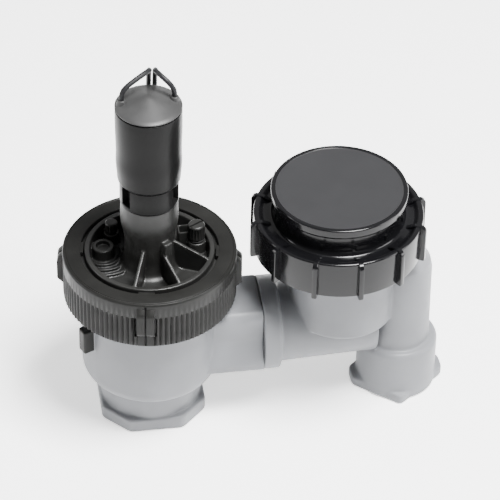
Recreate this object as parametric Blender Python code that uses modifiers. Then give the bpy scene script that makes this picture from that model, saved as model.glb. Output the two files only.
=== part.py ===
"""Jar-top anti-siphon irrigation valve, built from separate pieces.

A solenoid-operated diaphragm valve (inlet side, -X) feeds an atmospheric vacuum breaker (outlet side, +X).
Both threaded bosses stand on Z = 0. Metres, +Z up, -Y is the front.
"""

from math import cos, pi, radians, sin

import bmesh
import bpy
from mathutils import Vector
from mathutils.geometry import interpolate_bezier

# ---------------------------------------------------------------- driving dimensions

GAP = 0.0003               # clearance that touching pieces keep
ROUND = 36                 # sides of a large round piece
SMALL = 24                 # sides of a middling round piece
TINY = 16                  # sides of a screw or a stem

VALVE_X = -0.0476          # axis of the inlet, bowl and solenoid
BREAKER_X = VALVE_X + 0.0859   # axis of the vacuum breaker cap and float
CHAMBER_X = BREAKER_X + 0.0030  # axis of the breaker's outer chamber
OUTLET_X = VALVE_X + 0.1162    # axis of the riser and the outlet boss

CROSS_Z = 0.0400           # height of the crossover's axis
SOCKET_R = 0.0130          # female 3/4 inch pipe socket
SOCKET_DEPTH = 0.0160

BOSS_HALF = 0.0242         # octagon inlet boss, half across its wide flats
BOSS_FLAT = 0.0123         # half length of a wide flat
BOSS_H = 0.0069
HUB_R = 0.0232
BOWL_R = 0.0315
BOWL_IN_R = 0.0285
BOWL_FLOOR = 0.0240
NECK_R = 0.0350            # outside of the jar-top thread
NECK_Z = 0.0668
RIM_Z = 0.0760
SEAT_Z = 0.0665
SEAT_TUBE_R = 0.0130
SEAT_BORE_R = 0.0100
STEP_END = 0.0500          # end of the crossover socket, from the valve axis

RING_R = 0.0394
RING_BOTTOM = 0.0657
RING_TOP = 0.0900
RING_THREAD_R = 0.0354
LIP_IN_R = 0.0313
LUG_R = 0.0418
LUG_WIDTH = 0.0080
CLOCK = radians(-9.6)      # how far the ring and the cover are turned on the bowl

COVER_R = 0.0360
COVER_BOTTOM = 0.0788
COVER_SHOULDER = 0.0872
RECESS_FLOOR = 0.0825
RECESS_R = 0.0270
CROWN_R = 0.0294
CROWN_TOP = 0.0904
TOWER_TOP = 0.1193
TOWER_BORE_R = 0.0095
PILOT_FLOOR = 0.0940
PILOT_SEAT = 0.1005
RIB_ANGLES = (-111, -68, -24, 67, 113)
BLEED_AT = (0.0221, 0.0060)
PLUG_AT = (-0.0155, 0.0165)
SIDE_BOSS_AT = (-0.0203, 0.0072)

SOLENOID_R = 0.0148
SOLENOID_BOTTOM = 0.1315
SOLENOID_TOP = 0.1704
EXIT_X = 0.0116            # lead exits, either side of the solenoid axis
EXIT_Y = 0.0012
EXIT_Z = 0.1742

CAP_R = 0.0385
CAP_LUG_R = 0.0409
CAP_BOTTOM = 0.0845
CAP_TOP = 0.1030
CAP_LUGS = 12
DISC_R = 0.0309
DISC_BOTTOM = 0.1112
DISC_TOP = 0.1162
CHAMBER_R = 0.0245
CHAMBER_BOTTOM = 0.0460
FLOAT_SEAT = 0.0800
RISER_R = 0.0143
BARREL_R = 0.0186
OUTLET_CORNER_R = 0.0222
OUTLET_FLANGE_H = 0.0049

LEAD_R = 0.00115
COIL_AT = (VALVE_X - 0.0150, 0.0760)
COIL_R = 0.0128            # middle of the turns
COIL_HALF_WIDTH = 0.0047
COIL_H = 0.0048

GREY = ((0.50, 0.52, 0.56), 0.42, 0.0)
BLACK = ((0.022, 0.023, 0.025), 0.45, 0.0)
GLOSS_BLACK = ((0.012, 0.012, 0.014), 0.18, 0.0)
RUBBER = ((0.030, 0.030, 0.030), 0.75, 0.0)
STEEL = ((0.62, 0.62, 0.60), 0.28, 1.0)
BRASS = ((0.72, 0.55, 0.26), 0.30, 1.0)
COPPER = ((0.72, 0.36, 0.20), 0.30, 1.0)
WHITE = ((0.75, 0.74, 0.70), 0.40, 0.0)

# ---------------------------------------------------------------- scene and helpers

for old in list(bpy.data.objects):
    bpy.data.objects.remove(old, do_unlink=True)

parts = bpy.data.collections.new("anti_siphon_valve")
cutters = bpy.data.collections.new("cutters")
bpy.context.scene.collection.children.link(parts)
bpy.context.scene.collection.children.link(cutters)


def add_object(name, mesh, location=(0, 0, 0), rotation=(0, 0, 0)):
    """Link a new object among the parts."""
    obj = bpy.data.objects.new(name, mesh)
    obj.location = location
    obj.rotation_euler = rotation
    parts.objects.link(obj)
    return obj


def finish(obj, look):
    """Give an object its own material and shade its round faces smooth."""
    colour, roughness, metallic = look
    material = bpy.data.materials.new(obj.name)
    material.use_nodes = True
    shader = material.node_tree.nodes["Principled BSDF"]
    shader.inputs["Base Color"].default_value = (*colour, 1.0)
    shader.inputs["Roughness"].default_value = roughness
    shader.inputs["Metallic"].default_value = metallic
    obj.data.materials.append(material)
    if obj.type == "MESH":
        obj.data.shade_smooth()
        obj.data.set_sharp_from_angle(angle=radians(35))
    return obj


def as_tool(obj):
    """Turn an object into a Boolean operand that isn't part of the model."""
    parts.objects.unlink(obj)
    cutters.objects.link(obj)
    obj.hide_render = True
    obj.display_type = "WIRE"
    return obj


def combine(obj, tool, operation):
    """Cut or join with one operand."""
    modifier = obj.modifiers.new(tool.name, "BOOLEAN")
    modifier.operation = operation
    modifier.object = as_tool(tool)
    return obj


def cut(obj, *tools):
    for tool in tools:
        combine(obj, tool, "DIFFERENCE")
    return obj


def join(obj, *tools):
    for tool in tools:
        combine(obj, tool, "UNION")
    return obj


def turned(name, profile, location=(0, 0, 0), sides=ROUND, closed=False):
    """Turn a profile of (radius, height) about Z; it runs top to bottom down its outer side."""
    mesh = bpy.data.meshes.new(name)
    count = len(profile)
    edges = [(i, i + 1) for i in range(count - 1)]
    if closed:
        edges.append((count - 1, 0))
    mesh.from_pydata([(r, 0, z) for r, z in profile], edges, [])
    obj = add_object(name, mesh, location)
    screw = obj.modifiers.new("turn", "SCREW")
    screw.axis = "Z"
    screw.steps = sides
    screw.render_steps = sides
    screw.use_merge_vertices = True
    screw.merge_threshold = 0.00001
    return obj


def rod(name, radius, low, high, at=(0, 0), sides=SMALL, top_radius=None):
    """An upright cylinder or cone from one height to another."""
    mesh = bpy.data.meshes.new(name)
    shape = bmesh.new()
    bmesh.ops.create_cone(shape, cap_ends=True, segments=sides, radius1=radius,
                          radius2=radius if top_radius is None else top_radius, depth=high - low)
    shape.to_mesh(mesh)
    shape.free()
    return add_object(name, mesh, (at[0], at[1], (low + high) / 2))


def turned_along_x(name, profile, sides=ROUND, closed=False):
    """Turn a profile of (radius, x from the valve axis) about the crossover's axis; it starts at the +X end."""
    obj = turned(name, profile, (VALVE_X, 0, CROSS_Z), sides, closed)
    obj.rotation_euler = (0, pi / 2, 0)
    return obj


def box(name, size, centre, turn=0.0):
    """A block, turned about its own upright axis."""
    mesh = bpy.data.meshes.new(name)
    shape = bmesh.new()
    bmesh.ops.create_cube(shape, size=1.0)
    bmesh.ops.scale(shape, vec=size, verts=shape.verts)
    shape.to_mesh(mesh)
    shape.free()
    return add_object(name, mesh, centre, (0, 0, turn))


def outline(name, points, thickness, centre, rotation=(0, 0, 0), hole=None):
    """A flat outline with thickness, as a mesh, with a round hole of the given radius if one is wanted."""
    curve = bpy.data.curves.new(name, "CURVE")
    curve.dimensions = "2D"
    curve.fill_mode = "BOTH"
    curve.extrude = thickness / 2
    loops = [points]
    if hole:
        loops.append([around(-2 * pi * i / ROUND, hole) for i in range(ROUND)])
    for loop in loops:
        spline = curve.splines.new("POLY")
        spline.points.add(len(loop) - 1)
        for point, (x, y) in zip(spline.points, loop):
            point.co = (x, y, 0, 1)
        spline.use_cyclic_u = True
    return mesh_from_curve(add_object(name, curve, centre, rotation))


def mesh_from_curve(source):
    """Replace a curve object with a welded mesh object in the same place."""
    bpy.context.view_layer.update()
    evaluated = source.evaluated_get(bpy.context.evaluated_depsgraph_get())
    mesh = bpy.data.meshes.new_from_object(evaluated)
    shape = bmesh.new()
    shape.from_mesh(mesh)
    bmesh.ops.remove_doubles(shape, verts=shape.verts, dist=0.000001)
    bmesh.ops.recalc_face_normals(shape, faces=shape.faces)
    shape.to_mesh(mesh)
    shape.free()
    name = source.name
    place = source.matrix_world.copy()
    bpy.data.objects.remove(source, do_unlink=True)
    obj = add_object(name, mesh)
    obj.matrix_world = place
    return obj


def wire(name, points, radius, resolution=1):
    """A plain round tube along a list of points."""
    curve = bpy.data.curves.new(name, "CURVE")
    curve.dimensions = "3D"
    curve.bevel_depth = radius
    curve.bevel_resolution = resolution
    curve.use_fill_caps = True
    spline = curve.splines.new("POLY")
    spline.points.add(len(points) - 1)
    for point, position in zip(spline.points, points):
        point.co = (*position, 1)
    return add_object(name, curve)


def arc(centre, radius, start, end, steps):
    """Points along an arc, both ends included, angles in degrees."""
    angles = [radians(start + (end - start) * i / steps) for i in range(steps + 1)]
    return [(centre[0] + radius * cos(a), centre[1] + radius * sin(a)) for a in angles]


def torus_profile(ring_radius, wire_radius, height, steps=8):
    """A round section, clockwise, for an O-ring."""
    return [(ring_radius + wire_radius * cos(-2 * pi * i / steps), height + wire_radius * sin(-2 * pi * i / steps))
            for i in range(steps)]


def tube_profile(inner, outer, low, high):
    """A square section, clockwise, for a washer or sleeve."""
    return [(inner, high), (outer, high), (outer, low), (inner, low)]


def around(angle, radius, centre=(0, 0)):
    """A point at an angle and radius about an upright axis."""
    return centre[0] + radius * cos(angle), centre[1] + radius * sin(angle)


def smooth_route(points, spacing):
    """Evenly spaced points on a smooth curve through the given ones."""
    knots = [Vector(p) for p in points]
    fine = []
    for i in range(len(knots) - 1):
        before = knots[max(i - 1, 0)]
        after = knots[min(i + 2, len(knots) - 1)]
        a, b = knots[i], knots[i + 1]
        handle_a = a + (b - before) / 6
        handle_b = b - (after - a) / 6
        piece = interpolate_bezier(a, handle_a, handle_b, b, 25)
        fine.extend(piece if i == 0 else piece[1:])
    length = sum((q - p).length for p, q in zip(fine, fine[1:]))
    count = max(2, round(length / spacing))
    step = length / count
    route = [fine[0]]
    walked = 0.0
    for p, q in zip(fine, fine[1:]):
        span = (q - p).length
        while len(route) < count and walked + span >= step * len(route):
            route.append(p.lerp(q, (step * len(route) - walked) / span))
        walked += span
    route.append(fine[-1])
    return route


VALVE = (VALVE_X, 0, 0)
BREAKER = (BREAKER_X, 0, 0)


def at_valve(x, y):
    return VALVE_X + x, y


# ---------------------------------------------------------------- grey bodies

def octagon(half, flat):
    """The inlet boss: wide flats square to X and Y, cut corners between them."""
    return [(flat, -half), (half, -flat), (half, flat), (flat, half),
            (-flat, half), (-half, flat), (-half, -flat), (-flat, -half)]


def saddle_section():
    """Crossover socket section, (y, z) about its axis: a boxy top on a wider lower half."""
    half = [(0.0130, 0.0180), (0.0160, 0.0150), (0.0160, 0.0028), (0.0208, -0.0077),
            (0.0208, -0.0110), (0.0160, -0.0150)]
    return half + [(-y, z) for y, z in reversed(half)]


def make_valve_body():
    belly = arc((BOWL_R - 0.0070, 0.0280), 0.0070, 0, -80, 6)
    outside = [(NECK_R, RIM_Z), (NECK_R, NECK_Z), (BOWL_R, NECK_Z - 0.0020)] + belly
    outside += [(HUB_R + 0.0012, BOSS_H + 0.0125), (HUB_R, BOSS_H), (HUB_R, 0.0010)]
    inside = [(SOCKET_R, 0.0010), (SOCKET_R - 0.0004, SOCKET_DEPTH), (SEAT_BORE_R, SOCKET_DEPTH + 0.002),
              (SEAT_BORE_R, SEAT_Z), (SEAT_TUBE_R - 0.0010, SEAT_Z), (SEAT_TUBE_R, BOWL_FLOOR),
              (BOWL_IN_R - 0.006, BOWL_FLOOR), (BOWL_IN_R, BOWL_FLOOR + 0.006), (BOWL_IN_R, 0.0710),
              (0.0316, RIM_Z)]
    body = turned("valve_body", outside + inside, VALVE, closed=True)
    boss = outline("inlet_octagon", octagon(BOSS_HALF, BOSS_FLAT), BOSS_H, (VALVE_X, 0, BOSS_H / 2),
                   hole=SOCKET_R + 0.0040)
    saddle_start = 0.0150
    saddle_length = STEP_END - saddle_start
    saddle = outline("saddle", saddle_section(), saddle_length,
                     (VALVE_X + saddle_start + saddle_length / 2, 0, CROSS_Z), (pi / 2, 0, pi / 2))
    cut(saddle, rod("saddle_relief", (BOWL_R + BOWL_IN_R) / 2, 0.0180, 0.0640, (VALVE_X, 0), ROUND))
    lug_angle = radians(205)
    stop_lug = box("stop_lug", (0.0070, 0.0055, 0.0130),
                   (*around(lug_angle, 0.0332, (VALVE_X, 0)), 0.0515), lug_angle)
    join(body, boss, saddle, stop_lug)
    outlet = turned_along_x("outlet_bore", [(0.0, STEP_END + 0.001), (SOCKET_R, STEP_END + 0.001), (SOCKET_R, 0.0385),
                                            (0.0112, 0.0385), (0.0112, 0.0240), (0.0, 0.0240)])
    cut(body, outlet)
    return finish(body, GREY)


def make_breaker_body():
    """Spigot, collar and crossover tube, chamber with its thread, riser and outlet boss, in one moulding."""
    neck = [(0.0, 0.0965), (0.0345, 0.0965), (0.0345, 0.0855), (0.0300, 0.0800), (CHAMBER_R, 0.0760), (0.0, 0.0750)]
    body = turned("vacuum_breaker_body", neck, BREAKER)
    chamber = turned("chamber", [(0.0, 0.0790), (CHAMBER_R, 0.0790), (CHAMBER_R, CHAMBER_BOTTOM + 0.0012),
                                 (CHAMBER_R - 0.0012, CHAMBER_BOTTOM), (0.0, CHAMBER_BOTTOM)], (CHAMBER_X, 0, 0))
    crossover = turned_along_x("crossover", [(0.0, 0.1040), (0.0170, 0.1040), (0.0188, 0.0588), (0.0218, 0.0584),
                                             (0.0218, STEP_END + 0.0005), (SOCKET_R - GAP, STEP_END + 0.0005),
                                             (SOCKET_R - GAP, 0.0410), (0.0100, 0.0410), (0.0100, 0.0620),
                                             (0.0, 0.0620)])
    riser = turned("riser", [(0.0, 0.0806), (0.0055, 0.0798), (0.0104, 0.0766), (0.0134, 0.0722),
                             (RISER_R, 0.0680), (RISER_R + 0.0004, 0.0272), (0.0168, 0.0272), (0.0180, 0.0266),
                             (BARREL_R, 0.0250), (BARREL_R, 0.0010), (0.0, 0.0010)], (OUTLET_X, 0, 0))
    corners = [around(radians(a), OUTLET_CORNER_R) for a in (-166, -93, -8, 14, 87, 172)]
    flange = outline("outlet_flange", corners, OUTLET_FLANGE_H, (OUTLET_X, 0, OUTLET_FLANGE_H / 2))
    join(body, chamber, crossover, riser, flange)

    cup = turned("cup_space", [(0.0, 0.0975), (0.0310, 0.0975), (0.0310, 0.0880), (0.0222, FLOAT_SEAT),
                               (0.0098, FLOAT_SEAT), (0.0098, 0.0375), (0.0, 0.0375)], BREAKER)
    annulus = turned("annulus_space", tube_profile(0.0150, 0.0215, 0.0640, 0.0812), (CHAMBER_X, 0, 0), closed=True)
    level = turned_along_x("level_bore", [(0.0, 0.0949), (0.0121, 0.0949), (0.0121, 0.0600), (0.0, 0.0600)])
    down = turned("outlet_space", [(0.0, 0.0760), (0.0060, 0.0740), (0.0112, 0.0680),
                                   (0.0112, SOCKET_DEPTH + 0.002), (SOCKET_R - 0.0004, SOCKET_DEPTH),
                                   (SOCKET_R, -0.001), (0.0, -0.001)], (OUTLET_X, 0, 0))
    cut(body, cup, annulus, level, down)
    for modifier in body.modifiers:
        if modifier.type == "BOOLEAN":
            modifier.solver = "MANIFOLD"     # EXACT leaves open edges where the bores cross
    return finish(body, GREY)


def make_spigot_o_ring():
    """Lies between the spigot's end and the step inside the outlet socket."""
    return finish(turned_along_x("spigot_o_ring", torus_profile(0.0119, 0.0009, 0.0397), SMALL, True), RUBBER)


# ---------------------------------------------------------------- cover and lock ring

def make_cover():
    profile = [(TOWER_BORE_R, TOWER_TOP), (0.0130, TOWER_TOP), (0.0131, 0.1100), (0.0120, 0.1030),
               (0.0112, 0.0980), (0.0115, 0.0880), (0.0128, 0.0840), (0.0150, RECESS_FLOOR),
               (RECESS_R - 0.0004, RECESS_FLOOR),
               (RECESS_R, CROWN_TOP), (CROWN_R, CROWN_TOP), (CROWN_R, COVER_SHOULDER), (COVER_R, COVER_SHOULDER),
               (COVER_R, COVER_BOTTOM), (0.0300, COVER_BOTTOM), (0.0290, 0.0800), (0.0105, 0.0800),
               (0.0100, 0.0830), (0.0098, PILOT_FLOOR), (0.0008, PILOT_FLOOR), (0.0008, PILOT_SEAT),
               (0.0020, PILOT_SEAT), (0.0026, 0.0975), (TOWER_BORE_R, 0.0975)]
    cover = turned("cover", profile, VALVE, closed=True)
    side_view = [(0.0105, 0.0810), (0.0105, 0.0976), (0.0120, 0.0974), (0.0278, 0.0907), (0.0278, 0.0810)]
    for i, angle in enumerate(RIB_ANGLES):
        join(cover, outline(f"rib_{i}", side_view, 0.0014, VALVE, (pi / 2, 0, radians(angle))))
    bosses = (("bleed_boss", 0.0042, BLEED_AT), ("side_boss", 0.0050, SIDE_BOSS_AT), ("plug_boss", 0.0036, PLUG_AT))
    for name, radius, place in bosses:
        join(cover, rod(name, radius, 0.0812, 0.0880, at_valve(*place), TINY))
    cut(cover, rod("bleed_bore", 0.0024, 0.0790, 0.0890, at_valve(*BLEED_AT), TINY),
        rod("plug_bore", 0.0019, 0.0835, 0.0890, at_valve(*PLUG_AT), TINY),
        rod("side_dimple", 0.0034, 0.0862, 0.0890, at_valve(*SIDE_BOSS_AT), TINY))
    return finish(cover, BLACK)


def make_lock_ring():
    profile = [(LIP_IN_R, RING_TOP), (RING_R - 0.0008, RING_TOP), (RING_R, RING_TOP - 0.0008),
               (RING_R, RING_BOTTOM), (RING_THREAD_R, RING_BOTTOM), (RING_THREAD_R, 0.0752),
               (0.0369, 0.0765), (0.0369, COVER_SHOULDER + GAP), (LIP_IN_R, COVER_SHOULDER + GAP)]
    ring = turned("lock_ring", profile, VALVE, closed=True)
    for i in range(4):
        turn = CLOCK + i * pi / 2
        lug_depth = LUG_R - RING_R + 0.0010
        lug = box(f"ring_lug_{i}", (lug_depth, LUG_WIDTH, 0.0150),
                  (*around(turn, LUG_R - lug_depth / 2, (VALVE_X, 0)), 0.0790), turn)
        tab = box(f"lip_tab_{i}", (0.0030, 0.0070, 0.0018),
                  (*around(turn, 0.0312, (VALVE_X, 0)), 0.0888), turn)
        join(ring, lug, tab)
    return finish(ring, BLACK)


# ---------------------------------------------------------------- diaphragm assembly

def make_diaphragm_group():
    diaphragm = turned("diaphragm", [(0.0033, 0.0719), (0.0155, 0.0719), (0.0200, 0.0726), (0.0270, 0.0766),
                                     (0.0300, 0.0780), (0.0315, 0.0785), (0.0346, 0.0785), (0.0346, 0.0763),
                                     (0.0312, 0.0763), (0.0280, 0.0744), (0.0210, 0.0704), (0.0165, 0.0697),
                                     (0.0033, 0.0697)], VALVE, SMALL, True)
    finish(diaphragm, RUBBER)
    finish(turned("diaphragm_retainer", tube_profile(0.0033, 0.0165, 0.0722, 0.0745), VALVE, SMALL, True), WHITE)
    finish(turned("seat_washer", tube_profile(0.0033, 0.0135, SEAT_Z + GAP, 0.0694), VALVE, SMALL, True), RUBBER)
    clamp = turned("seat_clamp", tube_profile(0.0033, 0.0092, 0.0636, SEAT_Z), VALVE, SMALL, True)
    for i in range(2):
        vane = box(f"clamp_vane_{i}", (0.0184, 0.0012, 0.0120), (VALVE_X, 0, 0.0580), i * pi / 2)
        join(clamp, vane)
    cut(clamp, rod("clamp_bore", 0.0056, 0.0500, 0.0643, (VALVE_X, 0), SMALL))
    finish(clamp, WHITE)
    stem = turned("stem", [(0.0, 0.0798), (0.0026, 0.0798), (0.0030, 0.0793), (0.0030, 0.0640), (0.0050, 0.0640),
                           (0.0050, 0.0600), (0.0, 0.0600)], VALVE, TINY)
    finish(stem, STEEL)
    nut = outline("stem_nut", [around(radians(60 * i), 0.0062) for i in range(6)], 0.0032, (VALVE_X, 0, 0.0764))
    cut(nut, rod("nut_bore", 0.0033, 0.0740, 0.0790, (VALVE_X, 0), SMALL))
    finish(nut, STEEL)
    spring("main_spring", (VALVE_X, 0), 0.0088, 0.0006, 0.0754, 0.0931, 5.5, STEEL)


def spring(name, at, radius, wire_radius, low, high, turns, look):
    """A helix between two heights."""
    per_turn = 10
    count = round(turns * per_turn)
    points = []
    for i in range(count + 1):
        angle = 2 * pi * i / per_turn
        points.append((at[0] + radius * cos(angle), at[1] + radius * sin(angle), low + (high - low) * i / count))
    return finish(mesh_from_curve(wire(name, points, wire_radius, 0)), look)


# ---------------------------------------------------------------- solenoid

def make_solenoid():
    finish(turned("solenoid_o_ring", torus_profile(0.0074, 0.0011, 0.0989), VALVE, SMALL, True), RUBBER)

    under = SOLENOID_BOTTOM - GAP
    base = turned("solenoid_base", [(0.0052, under), (0.0104, under), (0.0104, 0.1215), (0.0132, 0.1212),
                                    (0.0132, 0.1197), (0.0092, 0.1197), (0.0092, 0.1015), (0.0052, 0.1015)],
                  VALVE, SMALL, True)
    for side, half in ((0, 19), (90, 47), (180, 19), (270, 47)):
        panel = arc((0, 0), 0.0132, side - half, side + half, 6) + arc((0, 0), 0.0098, side + half, side - half, 6)
        join(base, outline(f"base_panel_{side}", panel, 0.0108, (VALVE_X, 0, 0.1257)))
    finish(base, BLACK)

    finish(turned("core_tube", tube_profile(0.0043, 0.0049, 0.1018, 0.1600), VALVE, SMALL, True), BRASS)
    finish(turned("pole_piece", [(0.0, 0.1597), (0.0040, 0.1597), (0.0040, 0.1500), (0.0, 0.1500)], VALVE, SMALL),
           STEEL)
    plunger = turned("plunger", [(0.0, 0.1480), (0.0021, 0.1480), (0.0021, 0.1420), (0.0040, 0.1420),
                                 (0.0040, 0.1042), (0.0, 0.1042)], VALVE, SMALL)
    finish(plunger, STEEL)
    finish(turned("plunger_seal", [(0.0, 0.1039), (0.0030, 0.1039), (0.0030, PILOT_SEAT + GAP),
                                   (0.0, PILOT_SEAT + GAP)], VALVE, TINY), RUBBER)
    spring("plunger_spring", (VALVE_X, 0), 0.0031, 0.0003, 0.1426, 0.1493, 5.0, STEEL)

    bobbin = [(0.0052, 0.1615), (0.0120, 0.1615), (0.0120, 0.1600), (0.0062, 0.1600), (0.0062, 0.1386),
              (0.0120, 0.1386), (0.0120, 0.1371), (0.0052, 0.1371)]
    finish(turned("coil_bobbin", bobbin, VALVE, SMALL, True), WHITE)
    finish(turned("coil_winding", tube_profile(0.0065, 0.0118, 0.1389, 0.1597), VALVE, SMALL, True), COPPER)

    housing = [(0.0132, SOLENOID_TOP), (SOLENOID_R, SOLENOID_TOP), (SOLENOID_R, SOLENOID_BOTTOM + 0.0012),
               (0.0140, SOLENOID_BOTTOM), (0.0054, SOLENOID_BOTTOM), (0.0054, 0.1366), (0.0132, 0.1366)]
    finish(turned("solenoid_housing", housing, VALVE, SMALL, True), BLACK)

    low = SOLENOID_TOP + GAP
    top = turned("solenoid_top", [(0.0, low + 0.0055), (0.0030, low + 0.0050), (0.0138, low + 0.0012),
                                  (SOLENOID_R, low), (0.0129, low), (0.0129, low - 0.0025), (0.0, low - 0.0025)],
                 VALVE, SMALL)
    for side in (-1, 1):
        join(top, rod(f"lead_exit_{side}", 0.0024, low + 0.0004, EXIT_Z, at_valve(side * EXIT_X, EXIT_Y), TINY,
                      top_radius=0.0018))
    finish(top, BLACK)


# ---------------------------------------------------------------- screws in the cover

def make_cover_screws():
    x, y = at_valve(*BLEED_AT)
    finish(turned("bleed_o_ring", torus_profile(0.0031, 0.0006, 0.0889), (x, y, 0), TINY, True), RUBBER)
    bleed = turned("bleed_screw", [(0.0, 0.0972), (0.0032, 0.0972), (0.0038, 0.0966), (0.0038, 0.0898),
                                   (0.0021, 0.0898), (0.0021, 0.0830), (0.0009, 0.0808), (0.0, 0.0808)],
                   (x, y, 0), TINY)
    cut(bleed, box("bleed_slot", (0.0090, 0.0009, 0.0014), (x, y, 0.0971), radians(30)))
    finish(bleed, BLACK)

    x, y = at_valve(*PLUG_AT)
    finish(turned("port_plug", [(0.0, 0.0938), (0.0024, 0.0938), (0.0029, 0.0932), (0.0029, 0.0883),
                                (0.0016, 0.0883), (0.0016, 0.0840), (0.0, 0.0840)], (x, y, 0), TINY), BLACK)


# ---------------------------------------------------------------- vacuum breaker pieces

def make_breaker_cap():
    """Screw cap: skirt with lugs, roof with the air seat, and the slotted wall under the canopy disc."""
    wall_top = DISC_BOTTOM - GAP
    profile = [(0.0265, wall_top), (0.0293, wall_top), (0.0293, 0.1035), (0.0300, 0.1012), (0.0345, 0.1008),
               (0.0360, CAP_TOP), (CAP_R - 0.0010, CAP_TOP), (CAP_R, CAP_TOP - 0.0012), (CAP_R, CAP_BOTTOM),
               (0.0358, CAP_BOTTOM), (0.0358, 0.0962), (0.0348, 0.0995), (0.0125, 0.0995), (0.0125, 0.0930),
               (0.0100, 0.0930), (0.0100, 0.1025), (0.0265, 0.1025)]
    cap = turned("vacuum_breaker_cap", profile, BREAKER, closed=True)
    for i in range(CAP_LUGS):
        turn = radians(15 + 30 * i) + CLOCK
        depth = CAP_LUG_R - CAP_R + 0.0010
        join(cap, box(f"cap_lug_{i}", (depth, 0.0022, 0.0188),
                      (*around(turn, CAP_LUG_R - depth / 2, (BREAKER_X, 0)), 0.0933), turn))
        cut(cap, box(f"vent_slot_{i}", (0.0060, 0.0018, 0.0045),
                     (*around(turn, 0.0280, (BREAKER_X, 0)), 0.1062), turn))
    return finish(cap, GLOSS_BLACK)


def make_breaker_inside():
    disc = turned("canopy_disc", [(0.0, DISC_TOP), (DISC_R - 0.0014, DISC_TOP), (DISC_R - 0.0004, DISC_TOP - 0.0004),
                                  (DISC_R, DISC_TOP - 0.0012), (DISC_R, DISC_BOTTOM + 0.0012),
                                  (DISC_R - 0.0009, DISC_BOTTOM), (0.0, DISC_BOTTOM)], BREAKER)
    finish(disc, BLACK)
    finish(turned("cap_o_ring", torus_profile(0.0328, 0.0012, 0.0980), BREAKER, ROUND, True), RUBBER)
    float_body = turned("float", [(0.0, 0.0960), (0.0026, 0.0960), (0.0030, 0.0955), (0.0030, 0.0836),
                                  (0.0165, 0.0836), (0.0170, 0.0830), (0.0170, FLOAT_SEAT + GAP),
                                  (0.0, FLOAT_SEAT + GAP)], BREAKER, SMALL)
    for i in range(2):
        wing = box(f"float_wing_{i}", (0.0186, 0.0014, 0.0125), (BREAKER_X, 0, 0.0745), i * pi / 2)
        join(float_body, wing)
    finish(float_body, WHITE)
    finish(turned("float_seal", tube_profile(0.0033, 0.0150, 0.0839, 0.0860), BREAKER, SMALL, True), RUBBER)


# ---------------------------------------------------------------- lead wires

def lead_route(side):
    """Route of one lead: out of the solenoid top, over in a loop, and down behind the valve to its coil."""
    beside = side * (LEAD_R + 0.0002)
    start = (side * EXIT_X, EXIT_Y, EXIT_Z + 2 * GAP)
    if side > 0:
        loop = [(0.0115, EXIT_Y, 0.1768), (0.0106, 0.0018, 0.1789), (0.0088, 0.0031, 0.1808), (0.0068, 0.0048, 0.1822),
                (0.0052, 0.0070, 0.1828), (0.0045, 0.0096, 0.1822)]
    else:
        loop = [(-0.0115, EXIT_Y, 0.1768), (-0.0108, 0.0016, 0.1786), (-0.0091, 0.0025, 0.1801),
                (-0.0062, 0.0040, 0.1815), (-0.0030, 0.0057, 0.1826), (-0.0004, 0.0077, 0.1830), (0.0012, 0.0100, 0.1824)]
    down = [(beside + shift, y, z) for shift, y, z in ((0.0032, 0.0124, 0.1807), (0.0033, 0.0146, 0.1772),
                                                       (0.0034, 0.0166, 0.1706), (0.0032, 0.0176, 0.1540),
                                                       (0.0024, 0.0178, 0.1360), (0.0010, 0.0186, 0.1180))]
    down += [(beside, y, z) for y, z in ((0.0225, 0.1048), (0.0295, 0.0972), (0.0360, 0.0938), (0.0402, 0.0922),
                                         (0.0432, 0.0890), (0.0448, 0.0844), (0.0454, 0.0780), (0.0460, 0.0560),
                                         (0.0466, 0.0340), (0.0476, 0.0170), (0.0506, 0.0066))]
    if side > 0:
        floor = [(beside, 0.0568, 0.0020), (beside, 0.0635, 0.0013)]
    else:
        floor = [(beside, 0.0564, 0.0024), (beside + 0.0003, 0.0608, 0.0025)]
    return [(VALVE_X + x, y, z) for x, y, z in [start] + loop + down + floor]


def make_leads():
    for side, name in ((-1, "lead_wire_a"), (1, "lead_wire_b")):
        finish(mesh_from_curve(wire(name, smooth_route(lead_route(side), 0.0070), LEAD_R)), BLACK)
    low, high = 0.0, COIL_H
    coil = turned("lead_coil", tube_profile(COIL_R - COIL_HALF_WIDTH, COIL_R + COIL_HALF_WIDTH, low, high),
                  (*COIL_AT, 0), SMALL, True)
    finish(coil, BLACK)


make_valve_body()
make_breaker_body()
make_spigot_o_ring()
make_cover()
make_lock_ring()
make_diaphragm_group()
make_solenoid()
make_cover_screws()
make_breaker_cap()
make_breaker_inside()
make_leads()
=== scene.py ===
"""Looks of the jar-top anti-siphon irrigation valve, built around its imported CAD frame.

Lengths are in millimetres until a piece is made, and mesh_from() turns them into metres.
The valve's axis, the vacuum breaker's axis and the outlet's axis all stand in the plane Y = 0.
"""

from math import ceil, cos, pi, radians, sin, tau

import bmesh
import bpy
from mathutils import Matrix, Vector
from mathutils.geometry import interpolate_bezier


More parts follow.
